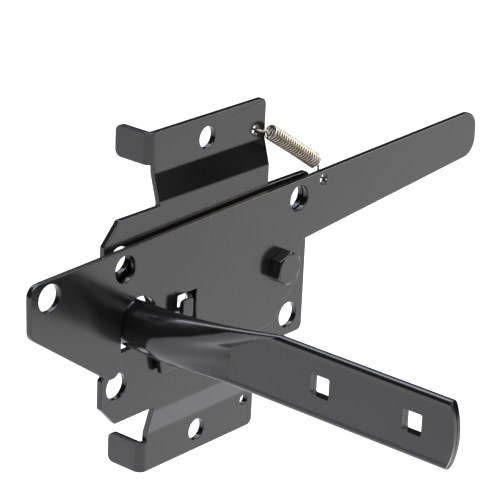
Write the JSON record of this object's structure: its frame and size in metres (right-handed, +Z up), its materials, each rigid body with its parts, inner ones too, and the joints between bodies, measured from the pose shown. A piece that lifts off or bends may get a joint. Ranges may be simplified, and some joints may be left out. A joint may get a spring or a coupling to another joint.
{
  "type": "gate latch",
  "caption": "Post-mounted automatic gate latch: a sprung, pivoting lever with a hooked notch and long handle drops over a strike bar that rides in the base plate's slot.",
  "frame": {"origin": "on the post's face, midway between the two lag screw holes of the base plate", "axes": "+X along the lever towards its handle, +Y into the post, +Z up; the latch faces -Y and the gate lies towards -Y"},
  "size_m": [0.2797, 0.178, 0.145],
  "materials": {
    "black_coat": "semi-gloss black powder coat on steel",
    "zinc_plate": "bright zinc plate on steel",
    "spring_wire": "nickel-plated spring wire"
  },
  "bodies": {
    "base": {"base_plate": "black_coat", "pivot_bolt": "black_coat", "pivot_sleeve": "zinc_plate", "spacer_washer": "zinc_plate", "backing_washer": "zinc_plate", "return_spring": "spring_wire"},
    "lever": {"latch_lever": "black_coat"},
    "strike": {"strike_bar": "black_coat"}
  },
  "joints": [
    {"name": "lever_pivot", "type": "hinge", "parent": "base", "child": "lever", "pos_m": [0.041, 0, 0], "axis": [0, 1, 0], "range_deg": [0, 16.5], "stiffness_Nm_per_rad": 1.2, "springref_deg": -11.46, "deforming": ["return_spring"]},
    {"name": "strike_slide", "type": "slide", "parent": "base", "child": "strike", "axis": [0, -1, 0], "range_m": [0, 0.045]}
  ]
}
